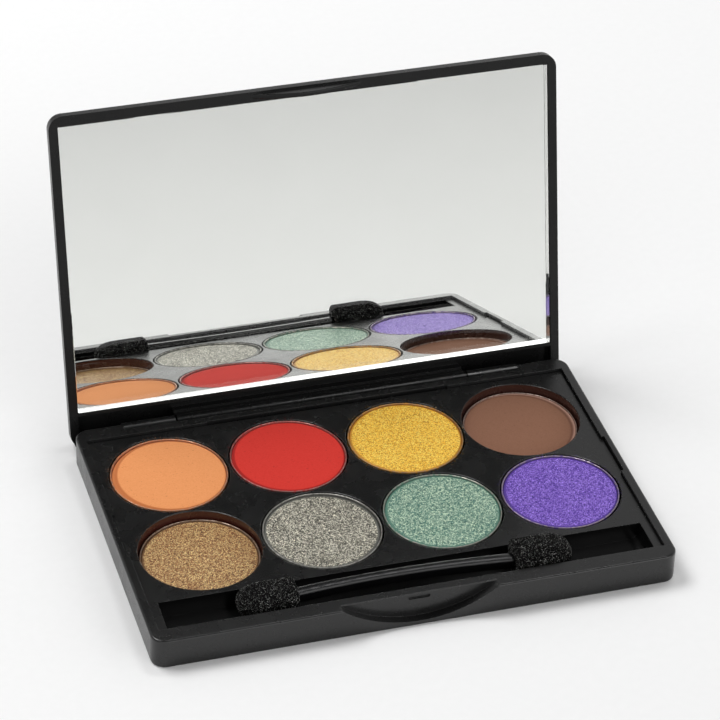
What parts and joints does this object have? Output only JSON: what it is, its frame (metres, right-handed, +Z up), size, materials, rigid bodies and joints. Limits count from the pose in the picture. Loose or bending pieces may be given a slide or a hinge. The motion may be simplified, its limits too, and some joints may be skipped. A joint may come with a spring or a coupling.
{
  "type": "eyeshadow palette",
  "caption": "Slim hinged case with a mirrored lid, round pans of pressed powder in a black deck, and a two-ended foam applicator in a trough at the front.",
  "frame": {"origin": "centre of the base tray's underside, on the surface that the palette lies on", "axes": "+X to the right along the case's long side, +Y from the finger scoop at the front to the hinge at the back, +Z up"},
  "size_m": [0.1162, 0.097, 0.0779],
  "materials": {
    "case_plastic": "satin",
    "pan_metal": "satin",
    "powder_orange": "matte",
    "powder_red": "matte",
    "powder_gold": "satin",
    "powder_brown": "matte",
    "powder_bronze": "satin",
    "powder_silver": "satin",
    "powder_green": "satin",
    "powder_violet": "satin",
    "glue": "satin",
    "pin_steel": "satin",
    "mirror": "polished",
    "tape": "matte",
    "handle_plastic": "gloss",
    "foam": "matte"
  },
  "bodies": {
    "base": {"base_tray": "case_plastic", "pan_deck": "case_plastic", "pan_orange": "pan_metal", "pan_red": "pan_metal", "pan_gold": "pan_metal", "pan_brown": "pan_metal", "pan_bronze": "pan_metal", "pan_silver": "pan_metal", "pan_green": "pan_metal", "pan_violet": "pan_metal", "powder_orange": "powder_orange", "powder_red": "powder_red", "powder_gold": "powder_gold", "powder_brown": "powder_brown", "powder_bronze": "powder_bronze", "powder_silver": "powder_silver", "powder_green": "powder_green", "powder_violet": "powder_violet", "pan_glue_discs": "glue", "hinge_pin_left": "pin_steel", "hinge_pin_right": "pin_steel"},
    "lid": {"lid_shell": "case_plastic", "mirror_glass": "mirror", "mirror_tape": "tape"},
    "applicator": {"applicator_handle": "handle_plastic", "foam_tip_left": "foam", "foam_tip_right": "foam"}
  },
  "joints": [
    {"name": "lid_hinge", "type": "hinge", "parent": "base", "child": "lid", "pos_m": [0, 0.03784, 0.00475], "axis": [-1, 0, 0], "range_deg": [-102.4, 0]},
    {"name": "applicator_lift", "type": "slide", "parent": "base", "child": "applicator", "axis": [0, 0, 1], "range_m": [0, 0.03]}
  ]
}
